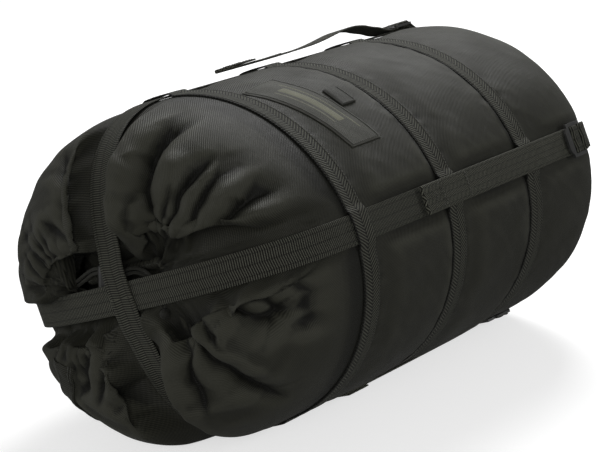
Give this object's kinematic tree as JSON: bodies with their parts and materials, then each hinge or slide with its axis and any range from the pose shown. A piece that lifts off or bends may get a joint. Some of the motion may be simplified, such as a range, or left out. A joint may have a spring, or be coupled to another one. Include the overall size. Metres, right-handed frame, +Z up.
{
  "type": "compression sack",
  "caption": "Packed drawstring sack lying on its side, squeezed lengthwise by two crossed webbing straps with ladder-lock buckles, and banded round.",
  "frame": {"origin": "middle of the sack's box in plan, at the height of the surface it lies on", "axes": "+X along the sack's axis from the gathered mouth to the closed back, +Z up, +Y across"},
  "size_m": [0.5634, 0.3158, 0.2906],
  "materials": {
    "sack_nylon": "matte",
    "webbing": "matte",
    "buckle_plastic": "satin",
    "cord_cover": "matte",
    "spring_steel": "satin",
    "patch_cloth": "matte",
    "packed_filling": "matte"
  },
  "bodies": {
    "sack": {"packed_contents": "packed_filling", "mouth_panel": "sack_nylon", "front_tube_panel": "sack_nylon", "middle_tube_panel": "sack_nylon", "rear_tube_panel": "sack_nylon", "back_panel": "sack_nylon", "front_band": "webbing", "middle_band": "webbing", "rear_band": "webbing", "mouth_hem": "sack_nylon", "drawcord": "cord_cover", "drawcord_tail_upper": "cord_cover", "drawcord_tail_lower": "cord_cover", "drawcord_knot": "cord_cover", "cord_lock_barrel": "buckle_plastic", "cord_lock_spring": "spring_steel", "label_patch": "patch_cloth", "size_tag": "patch_cloth", "seam_binding": "sack_nylon", "anchor_strap_top": "webbing", "anchor_strap_side": "webbing", "anchor_strap_bottom": "webbing", "anchor_strap_far": "webbing"},
    "lid": {"lid_strap_over": "webbing", "lid_strap_under": "webbing"},
    "tail_top": {"strap_tail_top": "webbing", "pull_loop_top": "webbing"},
    "lock_top": {"ladder_lock_top": "buckle_plastic", "strap_wrap_top": "webbing"},
    "tail_side": {"strap_tail_side": "webbing", "pull_loop_side": "webbing"},
    "lock_side": {"ladder_lock_side": "buckle_plastic", "strap_wrap_side": "webbing"},
    "tail_bottom": {"strap_tail_bottom": "webbing", "pull_loop_bottom": "webbing"},
    "lock_bottom": {"ladder_lock_bottom": "buckle_plastic", "strap_wrap_bottom": "webbing"},
    "tail_far": {"strap_tail_far": "webbing", "pull_loop_far": "webbing"},
    "lock_far": {"ladder_lock_far": "buckle_plastic", "strap_wrap_far": "webbing"},
    "plunger": {"cord_lock_plunger": "buckle_plastic"}
  },
  "joints": [
    {"name": "lid_slide", "type": "slide", "parent": "sack", "child": "lid", "axis": [-1, 0, 0], "range_m": [0, 0.15]},
    {"name": "tail_slide_top", "type": "slide", "parent": "sack", "child": "tail_top", "axis": [1, 0, 0], "range_m": [0, 0.15], "deforming": ["strap_tail_top"]},
    {"name": "tail_slide_side", "type": "slide", "parent": "sack", "child": "tail_side", "axis": [1, 0, 0], "range_m": [0, 0.15], "deforming": ["strap_tail_side"]},
    {"name": "tail_slide_bottom", "type": "slide", "parent": "sack", "child": "tail_bottom", "axis": [1, 0, 0], "range_m": [0, 0.15], "deforming": ["strap_tail_bottom"]},
    {"name": "tail_slide_far", "type": "slide", "parent": "sack", "child": "tail_far", "axis": [1, 0, 0], "range_m": [0, 0.15], "deforming": ["strap_tail_far"]},
    {"name": "lock_tilt_top", "type": "hinge", "parent": "sack", "child": "lock_top", "pos_m": [0.21645, 0.06044, 0.27882], "axis": [0, 0.9342, -0.3566], "range_deg": [0, 35]},
    {"name": "lock_tilt_side", "type": "hinge", "parent": "sack", "child": "lock_side", "pos_m": [0.21645, -0.14619, 0.19973], "axis": [0, 0.41, 0.9121], "range_deg": [0, 35]},
    {"name": "lock_tilt_bottom", "type": "hinge", "parent": "sack", "child": "lock_bottom", "pos_m": [0.21645, -0.06044, 0.00838], "axis": [0, -0.9342, 0.3566], "range_deg": [0, 35]},
    {"name": "lock_tilt_far", "type": "hinge", "parent": "sack", "child": "lock_far", "pos_m": [0.21645, 0.14619, 0.08747], "axis": [0, -0.41, -0.9121], "range_deg": [0, 35]},
    {"name": "plunger_press", "type": "slide", "parent": "sack", "child": "plunger", "axis": [0, 0, -1], "range_m": [0, 0.004], "stiffness_N_per_m": 250, "springref_m": -0.003, "deforming": ["cord_lock_spring"]}
  ],
  "couplings": [
    {"joint": "tail_slide_top", "follows": "lid_slide", "ratio": 1},
    {"joint": "tail_slide_side", "follows": "lid_slide", "ratio": 1},
    {"joint": "tail_slide_bottom", "follows": "lid_slide", "ratio": 1},
    {"joint": "tail_slide_far", "follows": "lid_slide", "ratio": 1}
  ]
}
